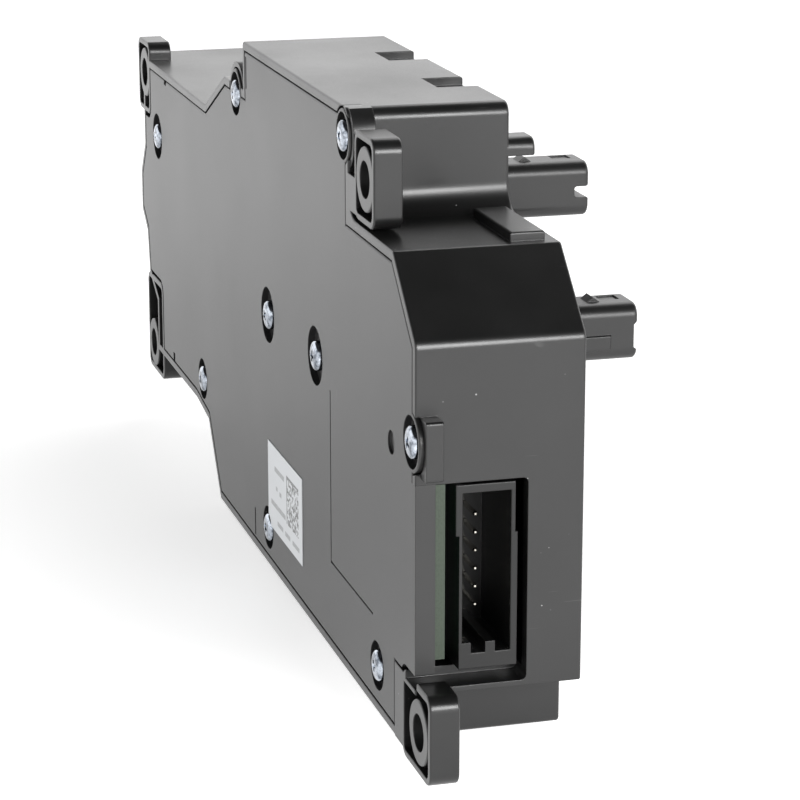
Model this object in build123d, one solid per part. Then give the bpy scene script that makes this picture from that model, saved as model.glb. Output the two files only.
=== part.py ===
from build123d import *
from math import cos, radians, sin
import os

# Dashboard control module: a black moulded housing with a screwed rear cover, a circuit board
# with a shrouded header at one end, and two rotary control shafts that stand out of the front.
# Millimetres. X runs along the length towards the header end, Y from the rear cover's outer
# face to the front, Z up. The origin is the lower right ear's screw axis at the rear face.

os.makedirs("parts", exist_ok=True)

# ---- driving dimensions -------------------------------------------------------------------

depth = 27.8            # rear face to front face
wall = 2.5              # housing wall
rim = 1.5               # housing rim that shows round the cover
seam = 0.35             # gap between rim and cover
cover_thick = 2.2
cover_lip = 3.3         # cover edge at the header end, and the board's rear face
clamp_wide = 1.6        # frame inside the cover that clamps the board
board_thick = 1.6
board_gap = 0.5         # board edge to housing wall
play = 0.3              # running gap between moving and fixed pieces
front_round = 0.5       # radius along the housing's front edges
rear_round = 0.3        # radius along the rear edges of housing, cover and ears

end_x = -2.0            # header end face
left_x = -224.0         # far end, rear part of the housing
far_step = 6.4          # how far the front part of the housing reaches past it
top_z = 92.6            # top of the raised box
shelf_z = 74.7          # top of the body on both sides of the raised box
shoulder_z = 83.3       # top of the low shoulder on the box's far side
bottom_z = -5.8
foot_x = -148.0         # where the underside starts to slope up to the far end
far_z = 9.8             # underside of the far end
box_near_x = -42.6
box_far_x = -121.4
bevel = 13.0            # run of the sloped corner above the header end
bevel_drop = 12.0
under_x = -12.4         # end wall below the header end's overhang
under_z = 5.5           # underside of that overhang

ear_depth = 4.9
ear_back = 6.2          # where the body behind the far ears starts
ear_wall = 1.1
ear_floor = 1.2
ear_corner = 2.4
ear_ring_r = 5.4
ear_hole_r = 3.1
ear_room = 0.9          # clearance between an ear and the cover
tunnel_r = 2.6          # screw tunnel behind the far top ear
tunnel_wall = 1.5

screw_head_r = 2.7
screw_head_high = 1.9
screw_head_round = 1.2
screw_shank_r = 1.3
screw_long = 12.0
screw_drive_r = 1.35
screw_drive_wide = 0.6
screw_drive_deep = 1.0
pocket_deep = 1.3
boss_r = 3.4
boss_wall = 1.0
strap_out = 3.4         # reach of the strap round the end screw's pocket
strap_down = 5.1
strap_up = 4.6

header_x = -2.3         # mouth of the header
header_long = 18.0
header_lift = 1.8       # board to header shroud
header_wide = 10.3
header_z = 9.0
header_high = 30.7
header_wall = 1.2
header_end_wall = 1.5
header_sill = 2.7       # thicker wall at the keyed end
window_room = 0.5       # gap between header and housing
pin_side = 0.64
pin_pitch = 3.05
pin_rows = 2.5
pin_short = 9.1         # mouth of the header to the pin tips
pin_count = 6

journal_r = 6.6
journal_clear = 0.05
flange_step = 1.5       # flange's reach past the journal
flange_thick = 1.6
lug_step = 1.3          # stop lug's reach past the flange
lug_angle = 20.0
stop_wall = 1.7
stop_deep = 2.2
stop_slack = 1.5        # degrees left at each stop
sleeve_wall = 1.6
sleeve_in = 3.0         # sleeve length inside the front wall
sleeve_out = 0.4        # sleeve length outside it
stem_r = 3.9
post_long = 16.9        # front face to the upper shaft's tip
lower_short = 0.9       # how much shorter the lower shaft is
shaft_side = 9.5        # rounded square drive section
shaft_corner = 2.2
upper_travel = 135.0    # degrees each way
lower_travel = 75.0

case_side = 17.0
case_wall = 1.3
case_top = 1.5
case_high = 7.2
rotor_lift = 1.5        # board to rotor
rotor_gap = 0.6         # rotor's rim to case bore
hub_r = 4.5
hub_clear = 0.05
socket_side = 5.0
key_deep = 3.2          # square key's reach into the case
key_clear = 0.03
flutes = 24
leaf_long = 9.2
leaf_wide = 3.0
leaf_thick = 0.3

# ---- places that follow from them ---------------------------------------------------------

board_y = cover_lip + board_thick
front_in = depth - wall
header_y = board_y + header_lift
header_top = header_z + header_high
pin_row_y = header_y + 3.55                 # row nearer the board
pin_z = header_z + header_high / 2 - 0.25   # middle of the pin row
overhang_z = shelf_z - bevel_drop
left_front_x = left_x - far_step
case_y = board_y + case_high
rotor_y = board_y + rotor_lift
rotor_r = case_side / 2 - case_wall - rotor_gap
sleeve_y = front_in - sleeve_in
flange_y = sleeve_y - play
flange_r = journal_r + flange_step
lug_r = flange_r + play + lug_step
shaft_tip_y = depth + post_long

# centre x, centre z and travel each way; lug and case clear the raised box's end wall
upper_shaft_x = box_near_x - wall - max(lug_r + 0.4, case_side / 2 + 1.2)
upper_shaft_z = top_z - case_side / 2 - 8.7
shafts = {
    "upper": (upper_shaft_x, upper_shaft_z, upper_travel),
    "lower": (upper_shaft_x + 28.0, upper_shaft_z - 18.4, lower_travel),
}

# centre x, centre z, pocket radius, and whether the pocket breaks the rim
screws = [
    (left_x + 15.3, shelf_z - 15.5, 5.0, False),
    (box_far_x - 6.8, shoulder_z - 1.8, 4.8, True),
    (box_near_x - 3.6, top_z - 5.0, 4.6, True),
    (end_x - 2.6, overhang_z - 16.1, 4.9, True),
    (-102.8, 43.8, 5.3, False),
    (-164.1, far_z + 5.8, 4.9, True),
    (-66.1, 45.1, 5.3, False),
    (-104.4, bottom_z + 7.4, 4.8, True),
    (-24.9, bottom_z + 8.1, 4.8, True),
]
end_screw = 3
label_screw = 7
board_screws = (4, 6)   # these two clamp the board as well

# hole x, hole z, then the ear's reach to the left, right, down and up of it
ears = {
    "datum": (0.0, 0.0, 9.6, 6.7, 7.1, 7.9),
    "upper": (box_near_x + 10.7, top_z - 9.7, 6.6, 5.6, 7.5, 7.3),
    "far_top": (left_x + 2.0, shelf_z - 3.3, 7.4, 5.6, 8.8, 7.1),
    "far_low": (left_x + 6.0, far_z + 0.6, 5.9, 11.4, 6.4, 15.6),
}

rear_outline = [
    (left_x, shelf_z),
    (box_far_x - 35.8, shelf_z),
    (box_far_x - 17.0, shoulder_z),
    (box_far_x, shoulder_z),
    (box_far_x, top_z),
    (box_near_x, top_z),
    (box_near_x, shelf_z),
    (end_x - bevel, shelf_z),
    (end_x, overhang_z),
    (end_x, under_z),
    (under_x, under_z),
    (under_x, bottom_z),
    (foot_x, bottom_z),
    (foot_x - 10.9, far_z - 1.6),
    (foot_x - 22.9, far_z),
    (left_x + 11.1, far_z),
    (left_x + 11.1, far_z + 11.4),
    (left_x + 2.6, far_z + 15.9),
    (left_x + 0.6, far_z + 25.4),
    (left_x - 5.0, far_z + 29.4),
    (left_x - 5.0, far_z + 38.4),
    (left_x, far_z + 45.4),
]
front_outline = [
    (left_front_x, shelf_z),
    *rear_outline[1:15],
    (left_front_x + 19.8, far_z),
    (left_front_x + 19.8, far_z + 9.2),
    (left_front_x, far_z + 9.2),
]


# ---- helpers ------------------------------------------------------------------------------

def slab(sketch, y0, y1):
    """A sketch drawn in X and Z, as a solid from y0 to y1."""
    return extrude(Plane.XZ.offset(-y0) * sketch, amount=-(y1 - y0))


def outline(points):
    return make_face(Polyline(*points, close=True))


def near(shape, spots, radius):
    """Round the corners of a sketch that lie at the given spots."""
    picked = [
        v for v in shape.vertices()
        if any(abs(v.X - x) < 0.01 and abs(v.Y - z) < 0.01 for x, z in spots)
    ]
    return fillet(picked, radius)


def plate(x0, x1, z0, z1, corner=0.0):
    flat = Rectangle(x1 - x0, z1 - z0)
    if corner:
        flat = fillet(flat.vertices(), corner)
    return Pos((x0 + x1) / 2, (z0 + z1) / 2) * flat


def block(x0, x1, y0, y1, z0, z1):
    return Pos((x0 + x1) / 2, (y0 + y1) / 2, (z0 + z1) / 2) * Box(x1 - x0, y1 - y0, z1 - z0)


def disc(x, z, r, y0, y1):
    return slab(Pos(x, z) * Circle(r), y0, y1)


def sector(x, z, r0, r1, start, sweep, y0, y1):
    """A ring sector about (x, z); angles in degrees from +Z towards +X."""
    steps = max(2, int(sweep // 15) + 1)
    fan = [(x, z)]
    for i in range(steps + 1):
        a = radians(start + sweep * i / steps)
        fan.append((x + 2 * r1 * sin(a), z + 2 * r1 * cos(a)))
    ring = Pos(x, z) * (Circle(r1) - Circle(r0))
    return slab(ring & outline(fan), y0, y1)


def soften(shape, side, radius):
    """Round the edges that lie on the shape's first (0) or last (-1) face along Y."""
    return fillet(shape.edges().group_by(Axis.Y)[side], radius)


def save(node, shape):
    export_step(shape, f"parts/{node}.step")


def group(node, shapes):
    save(node, Compound(children=list(shapes)))


# ---- front housing ------------------------------------------------------------------------

def round_body(face, left):
    face = near(face, [(box_near_x, top_z)], 2.2)
    face = near(face, [(box_near_x, shelf_z)], 4.8)
    face = near(face, [(end_x, overhang_z)], 2.4)
    face = near(face, [(box_far_x, top_z), (left, shelf_z)], 1.0)
    face = near(face, [(under_x, bottom_z), (foot_x, bottom_z), (end_x - bevel, shelf_z)], 0.8)
    return face


def ear_box(name, grow=0.0):
    x, z, left, right, down, up = ears[name]
    return x - left - grow, x + right + grow, z - down - grow, z + up + grow


def ear_frame(name, grow=0.0):
    return plate(*ear_box(name, grow), ear_corner + grow)


def ear_tub(name):
    """A boxed ear: a thin frame, a floor at the front and a ring round the screw hole."""
    hole_x, hole_z = ears[name][:2]
    tub = soften(slab(ear_frame(name), 0, ear_depth), 0, rear_round)
    tub = soften(tub, -1, rear_round)
    inside = offset(ear_frame(name), -ear_wall)
    tub -= slab(inside, 0, ear_depth - ear_floor)
    tub += soften(disc(hole_x, hole_z, ear_ring_r, 0, ear_depth), 0, rear_round)
    return tub


def stop_ring(x, z, travel):
    """The fixed stop inside the front wall that the shaft's lug turns between."""
    free = travel + lug_angle / 2 + stop_slack
    sweep = 360 - 2 * free
    inner = flange_r + play
    outer = inner + stop_wall
    stop = sector(x, z, inner, outer, free, sweep, sleeve_y - stop_deep, sleeve_y)
    return stop + sector(x, z, journal_r + 0.8, outer, free, sweep, sleeve_y, front_in)


def inset(points, amount):
    return offset(outline(points), -amount, kind=Kind.INTERSECTION)


def screw_lobes(grow):
    """Rounds about the screws at the rim: the cover's lobes, or the walls round them."""
    return [Pos(x, z) * Circle(pocket_r + grow) for x, z, pocket_r, at_edge in screws if at_edge]


def pocket_walls():
    """Walls round the lobes that break the rim; the end screw has a flat strap."""
    x, z = screws[end_screw][:2]
    below_top = plate(left_x, end_x, bottom_z - 10, top_z)
    walls = (Sketch() + screw_lobes(seam + boss_wall)) & below_top
    strap = plate(end_x - 1, end_x + strap_out, z - strap_down, z + strap_up, 0.5)
    return slab(walls, 0.4, cover_lip + boss_wall) + soften(slab(strap, 0.8, cover_lip + 0.4), -1, 0.2)


def ear_webs():
    """What joins each ear to the body beside or behind it."""
    left, right, low, high = ear_box("datum")
    webs = block(under_x - rim, left + ear_wall, 0, ear_depth, bottom_z, under_z + rim)
    left, right, low, high = ear_box("upper")
    webs += block(box_near_x - rim, left + ear_wall, 0, ear_depth, low + 0.6, high - 8.2)
    left, right, low, high = ear_box("far_top")
    webs += block(left_x - 1, right, ear_depth - 1, ear_back + 2, low + 1.4, shelf_z)
    left, right, low, high = ear_box("far_low")
    webs += block(right - 4.9, right - 0.9, ear_depth - 2, ear_back + 2, far_z, far_z + 10.2)
    return webs


def front_trim():
    """A ridge on the shelf and a raised step on the front, both beside the raised box."""
    ridge = block(box_near_x + 5.9, box_near_x + 26.0, depth - 8.0, depth - 2.3, shelf_z - 1, shelf_z + 1.6)
    ridge = fillet(ridge.edges().group_by(Axis.Z)[-1], 0.4)
    step = plate(box_near_x - 5.2, box_near_x, top_z - 9.2, top_z - 6.2)
    step = near(step, [(box_near_x, top_z - 6.2)], 2.0)
    return ridge + soften(slab(step, front_in, depth + 4.6), -1, front_round)


def front_housing():
    rear = slab(round_body(outline(rear_outline), left_x), 0, ear_back)
    front = slab(round_body(outline(front_outline), left_front_x), ear_back, depth)
    front = soften(front, -1, front_round)
    body = soften(rear, 0, rear_round) + front + pocket_walls()

    # cavity behind the front wall, and the rebate that takes the cover and its lobes
    body -= slab(inset(rear_outline, wall), -1, ear_back + wall)
    body -= slab(inset(front_outline, wall), ear_back + wall, front_in)
    body -= slab(inset(rear_outline, rim), -1, cover_thick)
    body -= slab(Sketch() + screw_lobes(seam), -1, cover_lip)

    for name in ears:
        body += ear_tub(name)
    body += ear_webs()

    # screw columns, kept inside the outer faces
    columns = [
        disc(x, z, boss_r, board_y if i in board_screws else cover_lip, front_in)
        for i, (x, z, pocket_r, at_edge) in enumerate(screws)
    ]
    body += (Part() + columns) & slab(inset(front_outline, 0.2), 0, depth)
    for x, z, pocket_r, at_edge in screws:
        body -= disc(x, z, screw_shank_r, -1, pocket_deep + screw_long + 1.0)

    # opening in the header end, for header, board edge and cover edge
    window_y = header_y + header_wide + 3 * window_room
    window = block(end_x - wall - 3, end_x + 1, -1, window_y, under_z + 0.9, header_top + window_room)
    body -= fillet(window.edges().filter_by(Axis.X).group_by(Axis.Y)[-1], 0.9)
    body -= block(
        header_x - header_long - 4, end_x - 1,
        cover_lip - 0.4, window_y,
        header_z - window_room, header_top + window_room,
    )

    # clip notches along the top front edge
    for x in (box_near_x - 58.2, box_near_x - 27.1):
        body -= block(x, x + 10.1, depth - 7.5, depth + 1, top_z - 1.5, top_z + 1)
    body += front_trim()

    # shaft sleeves and their stops
    for x, z, travel in shafts.values():
        body += disc(x, z, journal_r + journal_clear + sleeve_wall, sleeve_y, depth + sleeve_out)
        body += stop_ring(x, z, travel)
    for x, z, travel in shafts.values():
        body -= disc(x, z, journal_r + journal_clear, sleeve_y - 4, depth + sleeve_out + 1)

    # screw holes through the ears; the far top one runs on through the body
    for hole_x, hole_z, *_ in ears.values():
        body -= disc(hole_x, hole_z, ear_hole_r, -1, ear_back)
    hole_x, hole_z = ears["far_top"][:2]
    body += disc(hole_x, hole_z, tunnel_r + tunnel_wall, ear_back, depth) & front
    body -= disc(hole_x, hole_z, tunnel_r, 0, depth + 1)
    return body


# ---- rear cover ---------------------------------------------------------------------------

def moulding_marks():
    """Shallow marks in the cover: a long L groove, a gate dimple and small slots at the rim."""
    marks = block(-55.7, -55.2, -1, 0.3, 10.6, 41.6)
    marks += block(-55.7, -27.4, -1, 0.3, 10.3, 10.8)
    marks += disc(end_x - 14.0, 43.4, 2.0, -1, 0.5)
    high, low = shoulder_z + 0.6, bottom_z + 2.4
    marks += block(-118.9, -118.2, -1, 1.2, high, high + 6.1)
    marks += block(-116.0, -115.2, -1, 1.2, low, low + 5.6)
    high, low = shelf_z - 2.7, far_z + 1.2
    marks += block(-200.0, -197.8, -1, 1.2, high, high + 2.0)
    marks += block(-195.6, -193.8, -1, 1.2, low, low + 2.6)
    return marks


def rear_cover():
    lip_low = ear_box("datum")[3] + ear_room
    lip_high = header_top + window_room
    cover = slab(inset(rear_outline, rim + seam) + screw_lobes(0), 0, cover_thick)
    cover = soften(cover, 0, rear_round)

    # edge that closes the header opening
    cover += block(-30, end_x, 0, cover_thick, lip_low, lip_high)
    cover += block(end_x - 1.8, end_x, 0, cover_lip, lip_low, lip_high)

    # frame that clamps the board
    inside = inset(rear_outline, wall + board_gap)
    cover += slab(inside - inset(rear_outline, wall + board_gap + clamp_wide), cover_thick, cover_lip)

    # screw pockets: a round hollow with a floor under each head
    for x, z, pocket_r, at_edge in screws:
        cup = Pos(x, z) * Circle(pocket_r) + (Pos(x, z) * Circle(pocket_r + boss_wall) & inside)
        cover += slab(cup, pocket_deep, cover_lip)
        cover -= disc(x, z, pocket_r - (0.6 if at_edge else 0), -1, pocket_deep)
        cover -= disc(x, z, screw_shank_r + 0.1, -1, cover_lip + 1)

    for name in ears:
        cover -= slab(ear_frame(name, ear_room), -1, cover_lip + 1)
    return cover - moulding_marks()


# ---- circuit board and what it carries ----------------------------------------------------

def pin_places():
    """Each header pin's height, row and where it turns down to the board."""
    for row in range(2):
        y = pin_row_y + row * pin_rows
        bend_x = header_x - header_long - 1.5 - row * pin_rows
        for i in range(pin_count):
            yield pin_z + (i - (pin_count - 1) / 2) * pin_pitch, y, bend_x


def circuit_board():
    board = slab(inset(rear_outline, wall + board_gap), cover_lip, board_y)
    tongue_z = header_z + 2.2
    board -= block(header_x - 9.0, 1, 0, 10, under_z - 1, tongue_z)
    board += block(-12, end_x - 0.1, cover_lip, board_y, tongue_z, header_top + window_room - 0.1)
    for i, (x, z, pocket_r, at_edge) in enumerate(screws):
        hole_r = screw_shank_r + 0.3 if i in board_screws else boss_r + board_gap
        board -= disc(x, z, hole_r, 0, 10)
    for name in ears:
        board -= slab(ear_frame(name, board_gap), 0, 10)
    for z, y, bend_x in pin_places():
        half = pin_side / 2 + 0.08
        board -= block(bend_x - half, bend_x + half, 0, 10, z - half, z + half)
    return board


def header_shell():
    back = header_x - header_long
    far_y = header_y + header_wide
    shell = block(back, header_x, header_y, far_y, header_z, header_top)
    shell += block(back, back + 9, board_y, header_y, header_z + 1, header_top - 1)
    shell -= block(
        back + 2.5, header_x + 1,
        header_y + header_wall, far_y - header_wall,
        header_z + header_sill, header_top - header_end_wall,
    )
    shell = fillet(shell.edges().group_by(Axis.X)[-1], 0.25)

    # key blocks at the mouth, and a shallow jog of both side walls
    for y in (header_y + 1, header_y + 5):
        shell += block(back + 2.5, header_x, y, y + 1.6, header_z + 2, header_z + 4.4)
    jog_z = header_top - 8.4
    shell -= block(header_x - 9, header_x + 1, far_y - 0.5, far_y + 1, jog_z, header_top + 1)
    shell -= block(header_x - 9, header_x + 1, header_y - 1, header_y + 0.6, header_z - 1, jog_z)
    for z, y, bend_x in pin_places():
        half = pin_side / 2
        shell -= block(back - 1, back + 3, y - half, y + half, z - half, z + half)
    return shell


def header_pins():
    half = pin_side / 2
    tip_x = header_x - pin_short
    for z, y, bend_x in pin_places():
        pin = block(bend_x - half, tip_x, y - half, y + half, z - half, z + half)
        pin += block(bend_x - half, bend_x + half, cover_thick + 0.5, y + half, z - half, z + half)
        yield pin


def chip(x, z, long, wide, high, leads, pitch):
    """A flat package with a row of leads on two sides."""
    body = block(x - long / 2, x + long / 2, board_y + 0.15, board_y + high, z - wide / 2, z + wide / 2)
    for i in range(leads):
        lead_x = x + (i - (leads - 1) / 2) * pitch
        reach = wide / 2 + 1.2
        body += block(lead_x - 0.2, lead_x + 0.2, board_y, board_y + 0.6, z - reach, z + reach)
    return body


def microcontroller():
    x, z = -90.0, 68.0
    across = chip(x, z, 14, 14, 1.6, 16, 0.8)
    return across + Pos(x, 0, z) * Rot(0, 90, 0) * Pos(-x, 0, -z) * across


def voltage_regulator():
    x, z = -37.0, 8.0
    tab = block(x - 5, x + 5, board_y, board_y + 1.3, z, z + 9)
    tab += block(x - 4, x + 4, board_y + 1.3, board_y + 4.4, z, z + 7)
    for lead_x in (x - 2.6, x + 2.1):
        tab += block(lead_x, lead_x + 0.9, board_y, board_y + 0.6, z - 3.4, z)
    return tab


def capacitor_can(x, z):
    can = disc(x, z, 4.0, board_y + 1.4, board_y + 10.2)
    can = fillet(can.edges().group_by(Axis.Y)[-1], 0.6)
    return can + block(x - 4.2, x + 4.2, board_y, board_y + 1.4, z - 4.2, z + 4.2)


def power_inductor():
    x, z, half = -78.0, 18.0, 5.0
    coil = block(x - half, x + half, board_y, board_y + 1.2, z - half, z + half)
    return coil + disc(x, z, half - 0.4, board_y + 1.2, board_y + 5.0)


def clock_crystal():
    can = slab(Pos(-108.0, 70.0) * SlotOverall(11.4, 4.7), board_y, board_y + 3.6)
    return fillet(can.edges().group_by(Axis.Y)[-1], 0.5)


def chip_row(x, z, count, pitch, high):
    for i in range(count):
        yield block(x + i * pitch, x + i * pitch + 2.0, board_y, board_y + high, z, z + 1.25)


# ---- rotary controls ----------------------------------------------------------------------

def control_shaft(name):
    """Key, stem, flange with a stop lug, journal, and the rounded square that a knob fits."""
    x, z, travel = shafts[name]
    half = socket_side / 2 - key_clear
    flange_low = flange_y - flange_thick
    post = block(x - half, x + half, case_y - key_deep, case_y + 2.5, z - half, z + half)
    post += disc(x, z, stem_r, case_y + 2.2, flange_y)
    post += disc(x, z, flange_r, flange_low, flange_y)
    post += sector(x, z, stem_r, lug_r, -lug_angle / 2, lug_angle, flange_low, flange_y - 0.2)
    post += disc(x, z, journal_r, flange_low, depth + sleeve_out + play)
    # a slot across the upper tip makes it a springy fork; the lower one has a shallow relief
    forked = name == "upper"
    tip = shaft_tip_y - (0 if forked else lower_short)
    low, high, deep = (-1.3, 0.6, 2.6) if forked else (-2.8, 1.6, 0.7)
    slot = block(x - shaft_side, x + shaft_side, tip - deep, tip + 1, z + low, z + high)
    slot = fillet(slot.edges().filter_by(Axis.X).group_by(Axis.Y)[0], 0.5)
    drive = Pos(x, z) * fillet(Rectangle(shaft_side, shaft_side).vertices(), shaft_corner)
    drive = slab(drive, depth + sleeve_out, tip) - slot
    post += fillet(drive.edges().group_by(Axis.Y)[-1], 0.6)

    # snap wedge and shallow key groove on the upper flat
    top = z + shaft_side / 2
    apex = tip - (10.6 if forked else 6.8)
    ramp = Polyline((apex - 1.4, top - 0.2), (apex, top + 0.8), (apex + 1.4, top - 0.2), close=True)
    post += Pos(x - 1.6, 0, 0) * extrude(Plane.YZ * make_face(ramp), amount=3.2)
    post -= block(x - 2.5, x + 0.6, tip - 5.2, tip - 1.9, top - 0.25, top + 1)

    # the lower shaft also has a key rib on one side
    if not forked:
        side = x + shaft_side / 2
        rib = block(side - 0.5, side + 0.4, depth + sleeve_out, tip - 4.7, z - 2.7, z - 0.2)
        post += fillet(rib.edges().group_by(Axis.X)[-1], 0.3)
    return post


def control_rotor(name):
    x, z, travel = shafts[name]
    rotor = disc(x, z, rotor_r, rotor_y, case_y - case_top - play)
    for i in range(flutes):
        a = radians(i * 360 / flutes)
        rotor -= disc(x + rotor_r * sin(a), z + rotor_r * cos(a), 0.5, 0, case_y)
    rotor += disc(x, z, hub_r, rotor_y, case_y + 1.8)
    half = socket_side / 2
    return rotor - block(x - half, x + half, case_y - key_deep, case_y + 5, z - half, z + half)


def control_wiper(name):
    """A sprung contact plate under the rotor: a ring with three fingers that reach the tracks."""
    x, z, travel = shafts[name]
    ring = disc(x, z, 5.6, rotor_y - 0.3, rotor_y) - disc(x, z, 2.4, rotor_y - 1, rotor_y + 1)
    for i in range(3):
        ring += sector(x, z, 3.4 + 0.7 * i, 3.9 + 0.7 * i, 120 * i, 24, board_y + play, rotor_y)
    return ring


def switch_case(name):
    x, z, travel = shafts[name]
    half = case_side / 2
    case = slab(plate(x - half, x + half, z - half, z + half, 3.0), board_y, case_y)
    case -= disc(x, z, half - case_wall, board_y - 1, case_y - case_top)
    case -= disc(x, z, hub_r + hub_clear, board_y, case_y + 1)
    reach = leaf_long / 2
    return case - block(x - reach, x + reach, rotor_y, rotor_y + leaf_wide, z - half - 1, z - half + 2.4)


def detent_spring(name):
    """A leaf in the case's slot, with a nose that stands just off the rotor's fluted rim."""
    x, z, travel = shafts[name]
    reach = leaf_long / 2
    low = z - case_side / 2 + 0.2
    leaf = block(x - reach, x + reach, rotor_y, rotor_y + leaf_wide, low, low + leaf_thick)
    return leaf + block(x - 0.25, x + 0.25, rotor_y + 0.4, rotor_y + 2.6, low, z - rotor_r - play)


def switch_terminals():
    for x, z, travel in shafts.values():
        for side in (-1, 1):
            for i in range(3):
                lead_x = x + (i - 1) * 4.0
                edge = z + side * (case_side / 2 + 0.8)
                yield block(lead_x - 0.6, lead_x + 0.6, board_y, board_y + 0.4, edge - 0.8, edge + 0.8)


# ---- fasteners and label ------------------------------------------------------------------

def cover_screw(x, z):
    """Pan head screw with a cross recess."""
    head_y = pocket_deep - screw_head_high
    head = disc(x, z, screw_head_r, head_y, pocket_deep)
    head = fillet(head.edges().group_by(Axis.Y)[0], screw_head_round)
    shank = disc(x, z, screw_shank_r, pocket_deep, pocket_deep + screw_long)
    shank = chamfer(shank.edges().group_by(Axis.Y)[-1], 0.7)
    screw = head + shank
    long, wide = screw_drive_r, screw_drive_wide / 2
    floor_y = head_y + screw_drive_deep
    screw -= block(x - long, x + long, -1, floor_y, z - wide, z + wide)
    screw -= block(x - wide, x + wide, -1, floor_y, z - long, z + long)
    return screw


def label():
    """A paper label, trimmed round the screw next to it."""
    x, z = screws[label_screw][:2]
    return slab(plate(-103.5, -76.5, 2.8, 19.4), -0.12, 0) - disc(x, z, screw_head_r + 0.6, -1, 1)


# ---- write every node ---------------------------------------------------------------------

save("front_housing", front_housing())
save("rear_cover", rear_cover())
save("circuit_board", circuit_board())
save("header_shell", header_shell())
group("header_pins", header_pins())
group("cover_screws", [cover_screw(x, z) for x, z, pocket_r, at_edge in screws])
save("label", label())
save("microcontroller", microcontroller())
group("motor_drivers", [chip(x, 34.0, 17.9, 7.5, 2.5, 14, 1.27) for x in (-126.0, -152.0)])
save("voltage_regulator", voltage_regulator())
group("electrolytic_capacitors", [capacitor_can(x, 9.0) for x in (-52.0, -63.0)])
save("power_inductor", power_inductor())
save("clock_crystal", clock_crystal())
group("chip_capacitors", [*chip_row(-104.0, 56.0, 8, 4.0, 1.2), *chip_row(-158.0, 46.0, 6, 5.0, 1.2)])
group("chip_resistors", [*chip_row(-158.0, 50.5, 10, 4.0, 0.6), *chip_row(-128.0, 46.0, 5, 4.0, 0.6)])
for which in shafts:
    save(f"{which}_shaft", control_shaft(which))
    save(f"{which}_rotor", control_rotor(which))
    save(f"{which}_wiper", control_wiper(which))
    save(f"{which}_switch_case", switch_case(which))
    save(f"{which}_detent_spring", detent_spring(which))
group("switch_terminals", switch_terminals())
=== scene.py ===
import math

import bpy
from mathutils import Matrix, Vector


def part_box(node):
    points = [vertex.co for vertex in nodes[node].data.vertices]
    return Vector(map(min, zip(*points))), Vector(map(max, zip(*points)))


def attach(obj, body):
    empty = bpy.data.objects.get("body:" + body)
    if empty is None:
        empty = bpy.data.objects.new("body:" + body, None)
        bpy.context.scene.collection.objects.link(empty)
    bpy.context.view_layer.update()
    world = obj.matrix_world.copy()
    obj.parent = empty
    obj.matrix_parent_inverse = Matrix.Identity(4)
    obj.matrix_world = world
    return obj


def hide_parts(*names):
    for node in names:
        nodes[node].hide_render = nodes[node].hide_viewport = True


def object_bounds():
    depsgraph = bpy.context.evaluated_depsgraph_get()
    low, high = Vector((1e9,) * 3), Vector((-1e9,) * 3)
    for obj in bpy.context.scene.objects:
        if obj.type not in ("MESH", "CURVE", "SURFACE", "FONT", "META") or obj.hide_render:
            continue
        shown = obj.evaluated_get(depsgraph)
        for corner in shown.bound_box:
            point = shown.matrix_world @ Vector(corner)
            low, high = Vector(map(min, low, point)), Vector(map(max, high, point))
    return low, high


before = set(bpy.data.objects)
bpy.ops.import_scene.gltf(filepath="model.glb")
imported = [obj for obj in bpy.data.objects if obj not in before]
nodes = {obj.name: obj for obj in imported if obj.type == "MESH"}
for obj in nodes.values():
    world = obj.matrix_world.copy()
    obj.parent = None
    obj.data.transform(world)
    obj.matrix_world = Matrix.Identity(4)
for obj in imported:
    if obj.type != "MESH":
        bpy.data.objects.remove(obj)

# Dashboard control module, seen from behind at its header end. Metres, in the CAD frame.

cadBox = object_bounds()
mm = 0.001
closeEnough = 1e-6
print("frame loaded with", len(nodes), "nodes")


class Wire:
    # wraps a node socket, so that shader maths reads as an expression
    def __init__(self, tree, socket=None):
        self.tree = tree
        self.socket = socket

    def add(self, kind, settings=None, inputs=None, output=0):
        node = self.tree.nodes.new(kind)
        for name, value in (settings or {}).items():
            if name == "stops":
                self.setStops(node.color_ramp, value)
            else:
                setattr(node, name, value)
        for name, value in (inputs or {}).items():
            if isinstance(value, Wire):
                self.tree.links.new(value.socket, node.inputs[name])
            else:
                node.inputs[name].default_value = value
        return Wire(self.tree, node.outputs[output])

    def setStops(self, ramp, stops):
        while len(ramp.elements) < len(stops):
            ramp.elements.new(0.5)
        for element, (place, colour) in zip(ramp.elements, stops):
            element.position = place
            element.color = colour

    def maths(self, operation, first, second=0.0):
        return self.add("ShaderNodeMath", {"operation": operation}, {0: first, 1: second})

    def __add__(self, other):
        return self.maths("ADD", self, other)

    def __sub__(self, other):
        return self.maths("SUBTRACT", self, other)

    def __rsub__(self, other):
        return self.maths("SUBTRACT", other, self)

    def __mul__(self, other):
        return self.maths("MULTIPLY", self, other)

    def __truediv__(self, other):
        return self.maths("DIVIDE", self, other)

    def __gt__(self, other):
        return self.maths("GREATER_THAN", self, other)

    def __lt__(self, other):
        return self.maths("LESS_THAN", self, other)

    __radd__ = __add__
    __rmul__ = __mul__

    def over(self, other):
        return self.maths("MAXIMUM", self, other)

    def size(self):
        return self.maths("ABSOLUTE", self)

    def floor(self):
        return self.maths("FLOOR", self)

    def smooth(self, low, high):
        return self.add(
            "ShaderNodeMapRange", {"interpolation_type": "SMOOTHSTEP"},
            {"Value": self, "From Min": low, "From Max": high},
        )


def newMaterial(name):
    material = bpy.data.materials.new(name)
    material.use_nodes = True
    shader = material.node_tree.nodes["Principled BSDF"]
    return material, Wire(material.node_tree), shader


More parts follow.
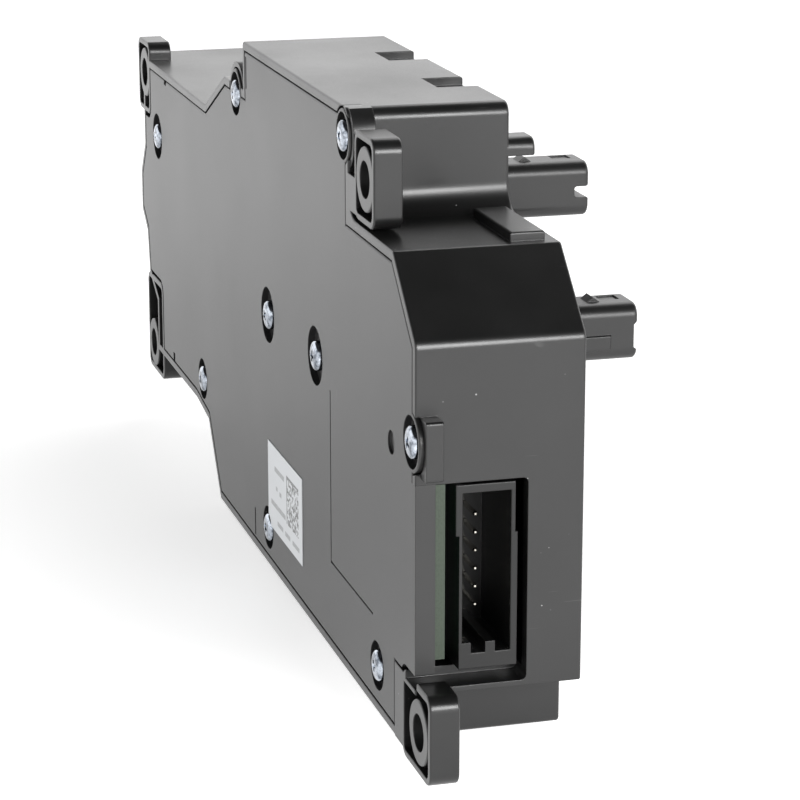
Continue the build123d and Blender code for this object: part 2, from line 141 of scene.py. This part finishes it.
def feed(wire, shader, values):
    # sets or links the shader's own sockets
    for name, value in values.items():
        if isinstance(value, Wire):
            wire.tree.links.new(value.socket, shader.inputs[name])
        else:
            shader.inputs[name].default_value = value


def grey(level, alpha=1.0):
    return (level, level, level, alpha)


def objectPlace(wire):
    return wire.add("ShaderNodeTexCoord", output="Object")


def placeAxes(wire, vector):
    split = wire.add("ShaderNodeSeparateXYZ", inputs={"Vector": vector})
    node = split.socket.node
    return [Wire(wire.tree, node.outputs[axis]) for axis in ("X", "Y", "Z")]


def noise(wire, place, scale, detail=2.0, rough=0.5, stretch=None, turn=(0, 0, 0)):
    if stretch or any(turn):
        place = wire.add(
            "ShaderNodeMapping", inputs={"Vector": place, "Rotation": turn, "Scale": stretch or (1, 1, 1)},
        )
    return wire.add(
        "ShaderNodeTexNoise", inputs={"Vector": place, "Scale": scale, "Detail": detail, "Roughness": rough},
    )


def mixColour(wire, share, first, second):
    mixed = wire.add(
        "ShaderNodeMix", {"data_type": "RGBA"}, {"Factor": share}, output="Result",
    )
    node = mixed.socket.node
    # sockets 6 and 7 take the two colours, and output 2 gives the mixed one
    for index, value in ((6, first), (7, second)):
        if isinstance(value, Wire):
            wire.tree.links.new(value.socket, node.inputs[index])
        else:
            node.inputs[index].default_value = value
    return Wire(wire.tree, node.outputs[2])


def bump(wire, height, distance, strength=1.0, after=None):
    inputs = {"Height": height, "Distance": distance, "Strength": strength}
    if after:
        inputs["Normal"] = after
    return wire.add("ShaderNodeBump", inputs=inputs)


# marks that every plastic shares; each plastic's own strengths are in its dictionary
plasticWear = {
    "cloudScale": 42.0, "grainRough": 0.12,
    # hair scratches: how the noise is stretched and turned, and the span of it that shows
    "hairs": (((60, 60, 2600), (0.2, 0.62, 0.1)), ((2400, 60, 80), (0.7, -0.5, 0.9))),
    "hairSpan": (0.725, 0.75), "patchScale": 90.0, "patchSpan": (0.5, 0.62), "hairTint": grey(0.16),
    # dust: how many cells to the metre, how large a speck is, and where specks gather
    "dustScale": 420.0, "dustSize": 0.055, "driftScale": 210.0, "driftSpan": (0.56, 0.66),
    "dustTint": grey(0.35), "dustRough": 0.3, "bevelSamples": 6,
}


# moulded plastics: fine spark-eroded grain, slow clouding of the gloss, hair scratches and dust
def mouldedPlastic(name, look):
    wear = plasticWear
    material, wire, shader = newMaterial(name)
    place = objectPlace(wire)
    grain = noise(wire, place, look["grainScale"], 3.0, 0.6)
    cloud = noise(wire, place, wear["cloudScale"], 4.0, 0.55)
    streaks = [
        noise(wire, place, 1.0, 2.0, 0.5, stretch, turn).smooth(*wear["hairSpan"])
        for stretch, turn in wear["hairs"]
    ]
    patch = noise(wire, place, wear["patchScale"], 2.0, 0.5).smooth(*wear["patchSpan"])
    scratches = streaks[0].over(streaks[1]) * patch * look["scratches"]
    speck = wire.add(
        "ShaderNodeTexVoronoi", inputs={"Vector": place, "Scale": wear["dustScale"], "Randomness": 1.0},
    )
    drift = noise(wire, place, wear["driftScale"], 1.0).smooth(*wear["driftSpan"])
    dust = (speck < wear["dustSize"]) * drift * look["dust"]
    tint = mixColour(wire, cloud.smooth(0.3, 0.7), look["deep"], look["light"])
    tint = mixColour(wire, scratches, tint, wear["hairTint"])
    tint = mixColour(wire, dust, tint, wear["dustTint"])
    rough = look["rough"] + (cloud - 0.5) * look["clouding"]
    rough = rough + (grain - 0.5) * wear["grainRough"] + dust * wear["dustRough"]
    edges = wire.add("ShaderNodeBevel", {"samples": wear["bevelSamples"]}, {"Radius": look["edge"]})
    normal = bump(wire, grain - scratches * 0.5, look["grainDeep"], look["grainStrong"], edges)
    feed(wire, shader, {"Base Color": tint, "Roughness": rough, "Normal": normal})
    feed(wire, shader, {"Specular IOR Level": look["specular"]})
    return material


plastics = {
    "housing": {
        "deep": grey(0.006), "light": grey(0.009), "rough": 0.32, "clouding": 0.14, "specular": 0.5,
        "grainScale": 5200.0, "grainDeep": 0.03 * mm, "grainStrong": 0.22, "scratches": 0.18, "dust": 0.8,
        "edge": 0.3 * mm,
    },
    "cover": {
        "deep": grey(0.010), "light": grey(0.014), "rough": 0.36, "clouding": 0.06, "specular": 0.5,
        "grainScale": 4600.0, "grainDeep": 0.03 * mm, "grainStrong": 0.4, "scratches": 0.3, "dust": 0.35,
        "edge": 0.2 * mm,
    },
    "shaft": {
        "deep": grey(0.007), "light": grey(0.010), "rough": 0.36, "clouding": 0.05, "specular": 0.45,
        "grainScale": 5200.0, "grainDeep": 0.02 * mm, "grainStrong": 0.3, "scratches": 0.15, "dust": 0.3,
        "edge": 0.25 * mm,
    },
    "header": {
        "deep": grey(0.002), "light": grey(0.0035), "rough": 0.34, "clouding": 0.05, "specular": 0.4,
        "grainScale": 6000.0, "grainDeep": 0.02 * mm, "grainStrong": 0.3, "scratches": 0.1, "dust": 0.6,
        "edge": 0.2 * mm,
    },
    "epoxy": {
        "deep": grey(0.010), "light": grey(0.016), "rough": 0.5, "clouding": 0.06, "specular": 0.4,
        "grainScale": 7000.0, "grainDeep": 0.03 * mm, "grainStrong": 0.5, "scratches": 0.1, "dust": 0.2,
        "edge": 0.15 * mm,
    },
    "acetal": {
        "deep": (0.62, 0.6, 0.53, 1), "light": (0.7, 0.68, 0.62, 1), "rough": 0.42, "clouding": 0.05,
        "specular": 0.5, "grainScale": 3000.0, "grainDeep": 0.02 * mm, "grainStrong": 0.2,
        "scratches": 0.0, "dust": 0.1, "edge": 0.1 * mm,
    },
}


# plated and bare metals: brushed or barrel-finished, with faint stains; on zinc the stains are near black,
# partly real stain and partly painted dark reflection
def platedMetal(name, look):
    material, wire, shader = newMaterial(name)
    place = objectPlace(wire)
    stainAndDarkReflection = noise(wire, place, look["stainAndReflectionScale"], 3.0, 0.6)
    fine = noise(wire, place, look["fineScale"], 2.0, 0.6, look["stretch"])
    # stain tint, which on zinc is near black and is also painted dark reflection
    tint = mixColour(wire, stainAndDarkReflection.smooth(0.35, 0.7), look["light"], look["deep"])
    rough = look["rough"] + (stainAndDarkReflection - 0.5) * 0.15 + (fine - 0.5) * 0.15
    feed(wire, shader, {"Base Color": tint, "Roughness": rough, "Metallic": 1.0})
    feed(wire, shader, {"Normal": bump(wire, fine, 0.02 * mm, look["strong"])})
    return material


metals = {
    "zinc": {
        # zinc's deep tint is near black: its blotches are partly stains and partly painted dark reflection
        "light": (0.50, 0.54, 0.60, 1), "deep": (0.1, 0.115, 0.14, 1), "rough": 0.16, "strong": 0.3,
        "stainAndReflectionScale": 900.0, "fineScale": 2600.0, "stretch": (1, 0.25, 1),
    },
    "tin": {
        "light": (0.62, 0.60, 0.54, 1), "deep": (0.4, 0.38, 0.33, 1), "rough": 0.12, "strong": 0.2,
        "stainAndReflectionScale": 1500.0, "fineScale": 4200.0, "stretch": (0.2, 1, 1),
    },
    "steel": {
        "light": (0.62, 0.62, 0.62, 1), "deep": (0.42, 0.43, 0.45, 1), "rough": 0.3, "strong": 0.3,
        "stainAndReflectionScale": 700.0, "fineScale": 3800.0, "stretch": (0.15, 1, 1),
    },
    "bronze": {
        "light": (0.78, 0.5, 0.24, 1), "deep": (0.5, 0.28, 0.12, 1), "rough": 0.3, "strong": 0.25,
        "stainAndReflectionScale": 800.0, "fineScale": 3800.0, "stretch": (0.2, 1, 1),
    },
    "aluminium": {
        "light": (0.8, 0.81, 0.83, 1), "deep": (0.62, 0.63, 0.66, 1), "rough": 0.32, "strong": 0.2,
        "stainAndReflectionScale": 600.0, "fineScale": 4200.0, "stretch": (1, 0.15, 1),
    },
}


# sintered and fired parts: speckled, dull, a little uneven
def firedCeramic(name, look):
    material, wire, shader = newMaterial(name)
    place = objectPlace(wire)
    speckle = noise(wire, place, look["speckle"], 4.0, 0.7)
    tint = mixColour(wire, speckle.smooth(0.35, 0.65), look["deep"], look["light"])
    feed(wire, shader, {"Base Color": tint, "Roughness": look["rough"] + (speckle - 0.5) * 0.2})
    feed(wire, shader, {"Normal": bump(wire, speckle, 0.04 * mm, 0.4)})
    return material


ceramics = {
    "ferrite": {"deep": grey(0.018), "light": grey(0.04), "rough": 0.55, "speckle": 3200.0},
    "chipCeramic": {
        "deep": (0.42, 0.31, 0.2, 1), "light": (0.55, 0.43, 0.3, 1), "rough": 0.45, "speckle": 2600.0,
    },
    "resistorFilm": {"deep": grey(0.012), "light": grey(0.03), "rough": 0.4, "speckle": 2600.0},
}


boardLook = {
    "mask": (0.012, 0.085, 0.035, 1), "track": (0.03, 0.17, 0.075, 1),
    "edge": (0.027, 0.040, 0.025, 1), "edgeDeep": (0.013, 0.023, 0.012, 1),
    "trackPitch": 2.54 * mm, "ply": 0.27 * mm,
    # a track's share of its pitch, along and across, and the share of a ply that is resin
    "laneWide": 0.22, "crossWide": 0.1, "crossPitch": 1.6, "resin": 0.35,
    "edgeRough": 0.62, "faceGloss": 0.34,
}


# green solder mask over tracks, and a pale edge where the glass and resin plies show
def circuitBoard():
    look = boardLook
    material, wire, shader = newMaterial("solderMask")
    place = objectPlace(wire)
    x, y, z = placeAxes(wire, place)
    facing = wire.add("ShaderNodeTexCoord", output="Normal")
    isFace = placeAxes(wire, facing)[1].size() > 0.5
    wander = noise(wire, place, 60.0, 1.0)
    step = (wander * 6.0).floor() * look["trackPitch"]
    lane = wire.maths("FRACT", (z + step) / look["trackPitch"])
    cross = wire.maths("FRACT", (x + step * 0.7) / (look["trackPitch"] * look["crossPitch"]))
    track = (lane < look["laneWide"]).over(cross < look["crossWide"])
    ply = wire.maths("FRACT", y / look["ply"])
    weave = noise(wire, place, 2400.0, 3.0, 0.6)
    faceTint = mixColour(wire, track, look["mask"], look["track"])
    layers = (ply < look["resin"]) * 0.4 + weave.smooth(0.4, 0.7) * 0.5
    edgeTint = mixColour(wire, layers, look["edge"], look["edgeDeep"])
    tint = mixColour(wire, isFace, edgeTint, faceTint)
    rough = look["edgeRough"] - isFace * look["faceGloss"] + (weave - 0.5) * 0.2
    relief = track * isFace * 0.6 + weave * (1 - isFace)
    feed(wire, shader, {"Base Color": tint, "Roughness": rough, "Normal": bump(wire, relief, 0.04 * mm, 0.5)})
    return material


stickerLook = {
    "paper": (0.57, 0.585, 0.60, 1), "ink": grey(0.12), "cell": 0.5 * mm, "barInk": 0.6,
    "inkShare": 0.86, "cellShare": 0.48, "fibre": 1800.0,
    "codeSide": 9.4 * mm, "codeIn": 14.9 * mm, "codeDown": 2.8 * mm,
    # each bar: from the far edge, its length, down from the top, its height, all in mm
    "bars": (
        (5.4, 7.6, 3.7, 1.0), (6.4, 1.3, 7.4, 0.8), (9.2, 1.6, 7.7, 0.9),
        (2.4, 11.6, 10.9, 1.0), (7.4, 4.6, 14.0, 0.9), (13.6, 4.0, 14.0, 0.9), (19.4, 5.4, 14.0, 0.9),
    ),
}


# white stock with plain grey bars and a square of random cells, which spell nothing
def stickerPaper():
    look = stickerLook
    material, wire, shader = newMaterial("stickerPaper")
    place = objectPlace(wire)
    x, _, z = placeAxes(wire, place)
    low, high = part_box("label")
    across, down = x - low.x, high.z - z

    def inside(left, long, top, tall):
        return (across > left) * (across < left + long) * (down > top) * (down < top + tall)

    def cells(side):
        spot = wire.add(
            "ShaderNodeCombineXYZ", inputs={"X": (across / side).floor(), "Y": (down / side).floor()},
        )
        return wire.add("ShaderNodeTexWhiteNoise", {"noise_dimensions": "2D"}, {"Vector": spot})

    bars = None
    for bar in look["bars"]:
        area = inside(*[value * mm for value in bar])
        bars = area if bars is None else bars.over(area)
    bars = bars * look["barInk"]
    side, left, top = look["codeSide"], look["codeIn"], look["codeDown"]
    code = inside(left, side, top, side) * (cells(look["cell"]) > look["cellShare"])
    frameBars = inside(left, side, top, look["cell"]).over(inside(left, look["cell"], top, side))
    fibre = noise(wire, place, look["fibre"], 4.0, 0.7)
    ink = bars.over(code).over(frameBars) * fibre.smooth(0.2, 0.5)
    tint = mixColour(wire, ink * look["inkShare"], look["paper"], look["ink"])
    normal = bump(wire, fibre, 0.02 * mm, 0.3)
    feed(wire, shader, {"Base Color": tint, "Roughness": 0.55 + (fibre - 0.5) * 0.2, "Normal": normal})
    feed(wire, shader, {"Specular IOR Level": 0.35})
    return material


materials = {name: mouldedPlastic(name + "Plastic", look) for name, look in plastics.items()}
materials.update({name: platedMetal(name + "Metal", look) for name, look in metals.items()})
materials.update({name: firedCeramic(name, look) for name, look in ceramics.items()})
materials["board"] = circuitBoard()
materials["sticker"] = stickerPaper()
print("materials made:", len(materials))


finishOf = {
    "front_housing": "housing", "rear_cover": "cover", "header_shell": "header", "label": "sticker",
    "circuit_board": "board", "header_pins": "tin", "cover_screws": "zinc", "switch_terminals": "tin",
    "microcontroller": "epoxy", "motor_drivers": "epoxy", "voltage_regulator": "epoxy",
    "electrolytic_capacitors": "aluminium", "clock_crystal": "steel", "power_inductor": "ferrite",
    "chip_capacitors": "chipCeramic", "chip_resistors": "resistorFilm",
}
for which in ("upper", "lower"):
    finishOf[which + "_shaft"] = "shaft"
    finishOf[which + "_rotor"] = "acetal"
    finishOf[which + "_wiper"] = "bronze"
    finishOf[which + "_switch_case"] = "epoxy"
    finishOf[which + "_detent_spring"] = "steel"
for name, finish in finishOf.items():
    slots = nodes[name].material_slots
    for slot in slots:
        slot.material = materials[finish]
    if not slots:
        nodes[name].data.materials.append(materials[finish])


def deselectAll():
    if bpy.context.object and bpy.context.object.mode != "OBJECT":
        bpy.ops.object.mode_set(mode="OBJECT")
    bpy.ops.object.select_all(action="DESELECT")


def pick(*pieces):
    deselectAll()
    for piece in pieces:
        piece.select_set(True)
    bpy.context.view_layer.objects.active = pieces[0]
    return pieces[0]


def copyOf(source, name):
    piece = bpy.data.objects.new(name, source.data.copy())
    bpy.context.scene.collection.objects.link(piece)
    return piece


def applyAll(piece):
    pick(piece)
    for modifier in list(piece.modifiers):
        bpy.ops.object.modifier_apply(modifier=modifier.name)


# faces that turn more than the first stay sharp, and less than the second make one flat
shading = {"sharpest": math.cos(math.radians(32.0)), "flattest": math.cos(math.radians(0.3))}


# how large the flat is that each face belongs to
def flatAreas(mesh):
    parent = list(range(len(mesh.polygons)))

    def flatOf(index):
        while parent[index] != index:
            parent[index] = parent[parent[index]]
            index = parent[index]
        return index

    beside = {}
    for face in mesh.polygons:
        for key in face.edge_keys:
            beside.setdefault(key, []).append(face)
    for pair in beside.values():
        if len(pair) == 2 and pair[0].normal.dot(pair[1].normal) > shading["flattest"]:
            parent[flatOf(pair[0].index)] = flatOf(pair[1].index)
    total = [0.0] * len(parent)
    for face in mesh.polygons:
        total[flatOf(face.index)] += face.area / mm ** 2
    return [total[flatOf(index)] for index in range(len(parent))]


# shades rounded edges smoothly and leaves the flats beside them flat
def settleNormals(piece):
    pick(piece)
    bpy.ops.object.shade_smooth()
    mesh = piece.data
    areas = flatAreas(mesh)
    around = [[] for vertex in mesh.vertices]
    for face in mesh.polygons:
        for vertex in face.vertices:
            around[vertex].append(face)
    normals = []
    for face in mesh.polygons:
        for vertex in face.vertices:
            lean = Vector()
            for other in around[vertex]:
                if other.normal.dot(face.normal) > shading["sharpest"]:
                    lean += other.normal * areas[other.index] ** 2
            normals.append(lean.normalized())
    mesh.normals_split_custom_set(normals)


def joinDoubles(piece):
    pick(piece)
    bpy.ops.object.mode_set(mode="EDIT")
    bpy.ops.mesh.select_all(action="SELECT")
    bpy.ops.mesh.remove_doubles(threshold=closeEnough)
    bpy.ops.object.mode_set(mode="OBJECT")


# a copy of a CAD node's shape with its triangles joined
def mergedCopy(nodeName, name):
    piece = copyOf(nodes[nodeName], name)
    joinDoubles(piece)
    settleNormals(piece)
    return piece


mouldings = {
    "front_housing": ("housingShell", "module", "housing_plastic"),
    "rear_cover": ("coverPlate", "module", "cover_plastic"),
    "header_shell": ("headerShroud", "module", "header_plastic"),
    "upper_shaft": ("upperPost", "upper_control", "shaft_plastic"),
    "lower_shaft": ("lowerPost", "lower_control", "shaft_plastic"),
}
for nodeName, (name, body, slot) in mouldings.items():
    piece = mergedCopy(nodeName, name)
    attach(piece, body)
    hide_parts(nodeName)
    print("moulding", name, len(piece.data.polygons), "faces")


# where each loose part of a CAD node lies: its lowest and highest corner
def looseBoxes(nodeName):
    joinDoubles(copyOf(nodes[nodeName], "looseParts"))
    bpy.ops.mesh.separate(type="LOOSE")
    parts = list(bpy.context.selected_objects)
    boxes = []
    for part in parts:
        places = [vertex.co for vertex in part.data.vertices]
        low = Vector([min(place[axis] for place in places) for axis in range(3)])
        high = Vector([max(place[axis] for place in places) for axis in range(3)])
        boxes.append((low, high))
        bpy.data.objects.remove(part)
    return sorted(boxes, key=lambda box: (round(box[0].x, 5), round(box[0].z, 5)))


headerPin = {"taper": 0.35 * mm, "tipShare": 0.62, "edge": 0.05 * mm}


def pushFace(piece, corner, axis, side, move, factor=1.0):
    # extrudes the face furthest along one axis and nearest the corner, and may scale its end
    bpy.ops.object.mode_set(mode="EDIT")
    bpy.ops.mesh.select_mode(type="FACE")
    bpy.ops.mesh.select_all(action="DESELECT")
    bpy.ops.object.mode_set(mode="OBJECT")
    furthest = max(face.center[axis] * side for face in piece.data.polygons)
    level = [face for face in piece.data.polygons if face.center[axis] * side > furthest - closeEnough]
    min(level, key=lambda face: (face.center - corner).length).select = True
    bpy.ops.object.mode_set(mode="EDIT")
    bpy.ops.mesh.extrude_region_move(TRANSFORM_OT_translate={"value": move})
    if factor != 1.0:
        bpy.ops.transform.resize(value=(factor, factor, factor))


# square pins: a corner, a leg down through the board and a run out to a tapered tip
for index, (low, high) in enumerate(looseBoxes("header_pins")):
    side = high.z - low.z
    deselectAll()
    corner = Vector((low.x + side / 2, high.y - side / 2, low.z + side / 2))
    bpy.ops.mesh.primitive_cube_add(size=1.0, location=corner)
    pin = bpy.context.active_object
    pin.name = "headerPin" + str(index + 1)
    pin.scale = (side, side, side)
    bpy.ops.object.transform_apply(location=True, rotation=True, scale=True)
    taper = headerPin["taper"]
    pushFace(pin, corner, 1, -1, (0, low.y - (high.y - side), 0))
    pushFace(pin, corner, 0, 1, (high.x - low.x - side - taper, 0, 0))
    pushFace(pin, corner, 0, 1, (taper, 0, 0), headerPin["tipShare"])
    bpy.ops.object.mode_set(mode="OBJECT")
    edges = pin.modifiers.new("edges", "BEVEL")
    edges.width = headerPin["edge"]
    edges.segments = 1
    applyAll(pin)
    pin.data.materials.append(materials["tin"])
    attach(pin, "module")
    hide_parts("header_pins")
print("header pins shaped")


coverScrew = {
    "sides": 40, "headDeep": 1.9 * mm, "headWide": 2.7 * mm,
    # how far each ring lies from the crown, and its share of the head's radius
    "dome": ((0.0, 0.3), (0.03, 0.5), (0.11, 0.68), (0.26, 0.84), (0.5, 0.95), (0.85, 1.0), (1.9, 1.0)),
    "shankWide": 1.3 * mm, "tipWide": 0.6 * mm, "tipLong": 0.7 * mm,
    # the cross: half a bar's length and width, its depth, and the share of both left at its foot
    "crossLong": 1.4 * mm, "crossWide": 0.36 * mm, "crossDeep": 1.15 * mm,
    "longTaper": 0.45, "wideTaper": 0.7,
    # how far the crosses are turned from one screw to the next, and the sharpest angle shaded smooth
    "turnStep": math.radians(37.0), "smoothTo": math.radians(34.0),
}


def pushRing(distance, factor):
    # extrudes the selected ring along +Y, then scales it about its own middle
    bpy.ops.mesh.extrude_region_move(TRANSFORM_OT_translate={"value": (0, distance, 0)})
    if factor != 1.0:
        bpy.ops.transform.resize(value=(factor, 1, factor))


def turnedScrew(name, shankLong):
    look = coverScrew
    crown = look["dome"][0]
    deselectAll()
    bpy.ops.mesh.primitive_circle_add(
        vertices=look["sides"], radius=look["headWide"] * crown[1], fill_type="NGON",
        rotation=(math.pi / 2, 0, 0), location=(0, 0, 0),
    )
    piece = bpy.context.active_object
    piece.name = name
    bpy.ops.object.transform_apply(location=True, rotation=True, scale=True)
    bpy.ops.object.mode_set(mode="EDIT")
    bpy.ops.mesh.select_all(action="SELECT")
    wide, deep = look["headWide"] * crown[1], 0.0
    rings = [(down * mm, look["headWide"] * share) for down, share in look["dome"][1:]]
    rings.append((look["headDeep"], look["shankWide"]))
    rings.append((look["headDeep"] + shankLong - look["tipLong"], look["shankWide"]))
    rings.append((look["headDeep"] + shankLong, look["tipWide"]))
    for ringDeep, ringWide in rings:
        pushRing(ringDeep - deep, ringWide / wide)
        deep, wide = ringDeep, ringWide
    bpy.ops.mesh.select_all(action="SELECT")
    bpy.ops.mesh.normals_make_consistent(inside=False)
    bpy.ops.object.mode_set(mode="OBJECT")
    return piece


# two tapered bars, cut out of the crown one after the other
def cutCross(piece):
    look = coverScrew
    for turn in (0, 1):
        deselectAll()
        bpy.ops.mesh.primitive_cube_add(size=1.0)
        cutter = bpy.context.active_object
        long, wide = 2 * look["crossLong"], 2 * look["crossWide"]
        cutter.scale = (wide if turn else long, 2 * look["crossDeep"], long if turn else wide)
        bpy.ops.object.transform_apply(location=True, rotation=True, scale=True)
        bpy.ops.object.mode_set(mode="EDIT")
        bpy.ops.mesh.select_all(action="DESELECT")
        bpy.ops.object.mode_set(mode="OBJECT")
        for vertex in cutter.data.vertices:
            vertex.select = vertex.co.y > 0
        bpy.ops.object.mode_set(mode="EDIT")
        bpy.ops.mesh.select_mode(type="VERT")
        shorter, slimmer = look["longTaper"], look["wideTaper"]
        bpy.ops.transform.resize(value=(slimmer, 1, shorter) if turn else (shorter, 1, slimmer))
        bpy.ops.object.mode_set(mode="OBJECT")
        cut = piece.modifiers.new("cross", "BOOLEAN")
        cut.operation = "DIFFERENCE"
        cut.solver = "EXACT"
        cut.object = cutter
        applyAll(piece)
        bpy.data.objects.remove(cutter)


firstScrew = None
for index, (low, high) in enumerate(looseBoxes("cover_screws")):
    name = "panScrew" + str(index + 1)
    if firstScrew is None:
        firstScrew = turnedScrew(name, high.y - low.y - coverScrew["headDeep"])
        cutCross(firstScrew)
        joinDoubles(firstScrew)
        bpy.ops.object.shade_smooth_by_angle(angle=coverScrew["smoothTo"])
        firstScrew.data.materials.clear()
        firstScrew.data.materials.append(materials["zinc"])
        plain = firstScrew.data.copy()
        screw = firstScrew
    else:
        screw = bpy.data.objects.new(name, plain.copy())
        bpy.context.scene.collection.objects.link(screw)
    pick(screw)
    screw.rotation_euler = (0, coverScrew["turnStep"] * index, 0)
    screw.location = ((low.x + high.x) / 2, low.y, (low.z + high.z) / 2)
    bpy.ops.object.transform_apply(location=True, rotation=True, scale=True)
    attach(screw, "module")
    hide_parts("cover_screws")
print("screws turned")


stage = {
    "floorHalf": 6.0, "floorLevel": cadBox[0].z - 0.02 * mm, "floorTint": grey(0.86),
    "floorGlow": 0.55,
    # painted pools of light: patches where the floor glows brighter, each with its middle, where it starts to
    # fade and ends, and its strength
    "paintedLightPools": (((0.2, 0.04, 0.0), 0.1, 0.3, 0.85), ((-0.62, -0.2, 0.0), 0.1, 0.42, 0.55)),
    # the sky: its strength, and how bright it is from the horizon, 0, to overhead, 1
    "skyStrength": 1.7,
    "sky": ((0.0, grey(1.0)), (0.46, grey(0.98)), (0.56, grey(0.35)), (0.66, grey(0.02))),
}


# a pale floor that glows evenly, with painted pools of light where it glows brighter
def paleFloor():
    deselectAll()
    bpy.ops.mesh.primitive_plane_add(size=2 * stage["floorHalf"], location=(0, 0, stage["floorLevel"]))
    floor = bpy.context.active_object
    floor.name = "studioFloor"
    material, wire, shader = newMaterial("floorSweep")
    glow = None
    for middle, start, end, strength in stage["paintedLightPools"]:
        away = wire.add(
            "ShaderNodeVectorMath", {"operation": "DISTANCE"}, {0: objectPlace(wire), 1: middle},
            output="Value",
        )
        # painted pool of light: the floor's glow rises towards the pool's middle
        paintedLightPool = (1 - away.smooth(start, end)) * strength
        glow = paintedLightPool if glow is None else glow + paintedLightPool
    glow = mixColour(wire, glow, grey(stage["floorGlow"]), grey(stage["floorGlow"] + 1.0))
    feed(wire, shader, {"Base Color": stage["floorTint"], "Roughness": 0.9})
    feed(wire, shader, {"Emission Color": glow, "Emission Strength": 1.0})
    feed(wire, shader, {"Specular IOR Level": 0.1})
    floor.data.materials.append(material)


def studioSky():
    world = bpy.data.worlds.new("studioSky")
    bpy.context.scene.world = world
    world.use_nodes = True
    wire = Wire(world.node_tree)
    direction = wire.add("ShaderNodeTexCoord", output="Generated")
    height = placeAxes(wire, direction)[2]
    bright = wire.add("ShaderNodeValToRGB", {"stops": stage["sky"]}, {"Fac": height})
    background = world.node_tree.nodes["Background"]
    wire.tree.links.new(bright.socket, background.inputs["Color"])
    background.inputs["Strength"].default_value = stage["skyStrength"]


# soft boxes: place, the point each looks at, its two sides and its power in watts
softBoxes = {
    "frontBox": {"at": (0.60, 0.18, 0.27), "to": (0.0, 0.0, 0.05), "sides": (0.26, 0.20), "power": 3.6},
    "backBox": {"at": (-0.45, 0.35, 0.55), "to": (-0.03, 0.01, 0.07), "sides": (0.4, 0.3), "power": 1.2},
}


def placeSoftBoxes():
    for name, look in softBoxes.items():
        deselectAll()
        bpy.ops.object.light_add(type="AREA", location=look["at"])
        lamp = bpy.context.active_object
        lamp.name = name
        lamp.data.shape = "RECTANGLE"
        lamp.data.size, lamp.data.size_y = look["sides"]
        lamp.data.energy = look["power"]
        aim = Vector(look["to"]) - Vector(look["at"])
        lamp.rotation_euler = aim.to_track_quat("-Z", "Y").to_euler()


# where the camera stands, how far it looks down and round, and its lens
view = {
    "at": (411.7 * mm, -118.0 * mm, 173.0 * mm), "down": math.radians(15.448), "round": math.radians(74.394),
    "sensor": 36.0, "lens": 130.5, "nearest": 0.01, "furthest": 50.0,
}


def makeCamera():
    camera = bpy.data.objects.new("camera", bpy.data.cameras.new("camera"))
    bpy.context.scene.collection.objects.link(camera)
    camera.data.sensor_width = view["sensor"]
    camera.data.lens = view["lens"]
    camera.data.clip_start, camera.data.clip_end = view["nearest"], view["furthest"]
    camera.location = view["at"]
    camera.rotation_euler = (math.pi / 2 - view["down"], 0, view["round"])
    bpy.context.scene.camera = camera


paleFloor()
studioSky()
placeSoftBoxes()
makeCamera()
bpy.context.scene.view_settings.view_transform = "Standard"
print("stage, light and camera set")
